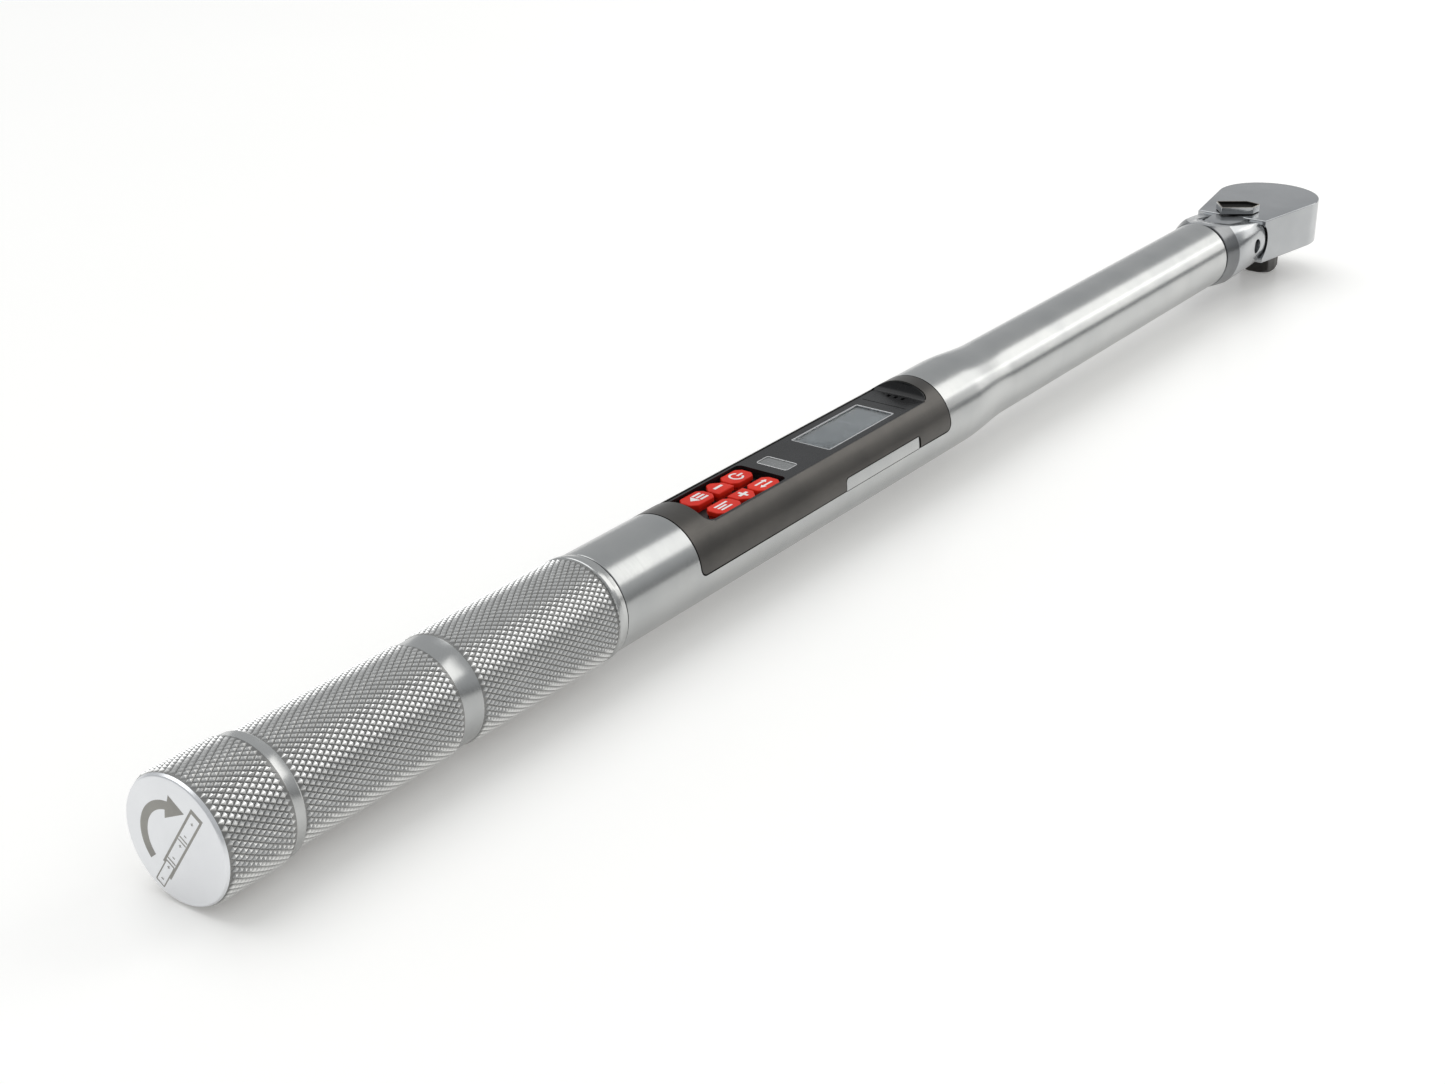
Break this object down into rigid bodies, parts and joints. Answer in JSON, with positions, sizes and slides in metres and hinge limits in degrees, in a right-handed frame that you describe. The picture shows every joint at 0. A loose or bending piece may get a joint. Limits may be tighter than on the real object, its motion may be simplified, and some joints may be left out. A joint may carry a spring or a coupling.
{
  "type": "electronic torque wrench",
  "caption": "Electronic torque wrench: knurled battery grip, flat display housing with red keys, long steel tube and a tilting ratchet head with a square drive.",
  "frame": {"origin": "centre of the square drive's end face", "axes": "+X along the handle from the battery cap towards the ratchet head, +Z from the drive tip up towards the display side, +Y to the left when looking along +X"},
  "size_m": [0.6717, 0.0444, 0.0419],
  "materials": {
    "satin_steel": "satin chrome plate with fine turning marks",
    "polished_steel": "polished chrome plate",
    "plain_steel": "plain machined",
    "black_steel": "black oxide, oiled",
    "brass": "plain",
    "graphite_shell": "fine satin texture",
    "black_panel": "glossy",
    "red_rubber": "satin",
    "black_rubber": "matt",
    "clear_window": "clear",
    "lcd_grey": "smooth",
    "cell_sleeve": "printed film",
    "board_green": "solder mask",
    "nylon": "natural"
  },
  "bodies": {
    "handle": {"cap_seal_ring": "black_rubber", "battery_1": "cell_sleeve", "battery_2": "cell_sleeve", "battery_3": "cell_sleeve", "battery_liner": "nylon", "contact_carrier": "nylon", "positive_contact": "brass", "grip_sleeve": "satin_steel", "main_tube": "satin_steel", "shank_screw": "plain_steel", "housing_shell": "graphite_shell", "face_panel": "black_panel", "display_window": "clear_window", "lcd_module": "lcd_grey", "light_bar": "clear_window", "main_board": "board_green", "keypad_mat": "black_rubber", "light_module": "nylon", "buzzer": "black_panel", "vibration_motor": "plain_steel", "battery_lead": "black_rubber", "gauge_lead": "black_rubber", "measuring_beam": "plain_steel", "strain_gauge_1": "brass", "strain_gauge_2": "brass", "strain_gauge_3": "brass", "strain_gauge_4": "brass", "yoke": "polished_steel", "pivot_pin": "plain_steel", "friction_plunger": "plain_steel", "friction_spring": "plain_steel"},
    "cap_carrier": {"cap_contact": "brass", "battery_spring": "plain_steel"},
    "cap": {"end_cap": "satin_steel"},
    "menu_key_body": {"menu_key": "red_rubber"},
    "minus_key_body": {"minus_key": "red_rubber"},
    "power_key_body": {"power_key": "red_rubber"},
    "preset_key_body": {"preset_key": "red_rubber"},
    "plus_key_body": {"plus_key": "red_rubber"},
    "unit_key_body": {"unit_key": "red_rubber"},
    "head": {"ratchet_head": "polished_steel", "head_cover": "polished_steel", "cover_screw_1": "plain_steel", "cover_screw_2": "plain_steel", "cover_screw_3": "plain_steel", "cover_screw_4": "plain_steel"},
    "drive": {"drive_gear": "black_steel", "socket_ball_spring": "plain_steel"},
    "ball": {"socket_ball": "plain_steel"},
    "lever": {"reversing_lever": "black_steel", "pawl_plunger": "plain_steel", "pawl_spring": "plain_steel"},
    "pawl_body": {"pawl": "plain_steel"}
  },
  "joints": [
    {"name": "cap_travel", "type": "slide", "parent": "handle", "child": "cap_carrier", "axis": [-1, 0, 0], "range_m": [0, 0.0061]},
    {"name": "cap_turn", "type": "hinge", "parent": "cap_carrier", "child": "cap", "pos_m": [-0.647, 0, 0.024], "axis": [1, 0, 0], "range_deg": [0, 1440]},
    {"name": "menu_key_press", "type": "slide", "parent": "handle", "child": "menu_key_body", "axis": [0, 0, -1], "range_m": [0, 0.0008], "stiffness_N_per_m": 600, "springref_m": -0.0005},
    {"name": "minus_key_press", "type": "slide", "parent": "handle", "child": "minus_key_body", "axis": [0, 0, -1], "range_m": [0, 0.0008], "stiffness_N_per_m": 600, "springref_m": -0.0005},
    {"name": "power_key_press", "type": "slide", "parent": "handle", "child": "power_key_body", "axis": [0, 0, -1], "range_m": [0, 0.0008], "stiffness_N_per_m": 600, "springref_m": -0.0005},
    {"name": "preset_key_press", "type": "slide", "parent": "handle", "child": "preset_key_body", "axis": [0, 0, -1], "range_m": [0, 0.0008], "stiffness_N_per_m": 600, "springref_m": -0.0005},
    {"name": "plus_key_press", "type": "slide", "parent": "handle", "child": "plus_key_body", "axis": [0, 0, -1], "range_m": [0, 0.0008], "stiffness_N_per_m": 600, "springref_m": -0.0005},
    {"name": "unit_key_press", "type": "slide", "parent": "handle", "child": "unit_key_body", "axis": [0, 0, -1], "range_m": [0, 0.0008], "stiffness_N_per_m": 600, "springref_m": -0.0005},
    {"name": "head_tilt", "type": "hinge", "parent": "handle", "child": "head", "pos_m": [-0.0455, 0, 0.024], "axis": [0, -1, 0], "range_deg": [-15, 15]},
    {"name": "drive_turn", "type": "hinge", "parent": "head", "child": "drive", "pos_m": [0, 0, 0.012], "axis": [0, 0, 1], "continuous": true},
    {"name": "ball_press", "type": "slide", "parent": "drive", "child": "ball", "axis": [-1, 0, 0], "range_m": [0, 0.001], "stiffness_N_per_m": 800, "springref_m": -0.0008},
    {"name": "lever_turn", "type": "hinge", "parent": "head", "child": "lever", "pos_m": [-0.031, 0, 0.03], "axis": [0, 0, 1], "range_deg": [0, 108]},
    {"name": "pawl_rock", "type": "hinge", "parent": "head", "child": "pawl_body", "pos_m": [0, 0, 0.024], "axis": [0, 0, 1], "range_deg": [-10.2, 0]}
  ],
  "couplings": [
    {"joint": "cap_travel", "follows": "cap_turn", "m_per_rad": 0.00023873},
    {"joint": "pawl_rock", "follows": "lever_turn", "ratio": -0.0926}
  ]
}
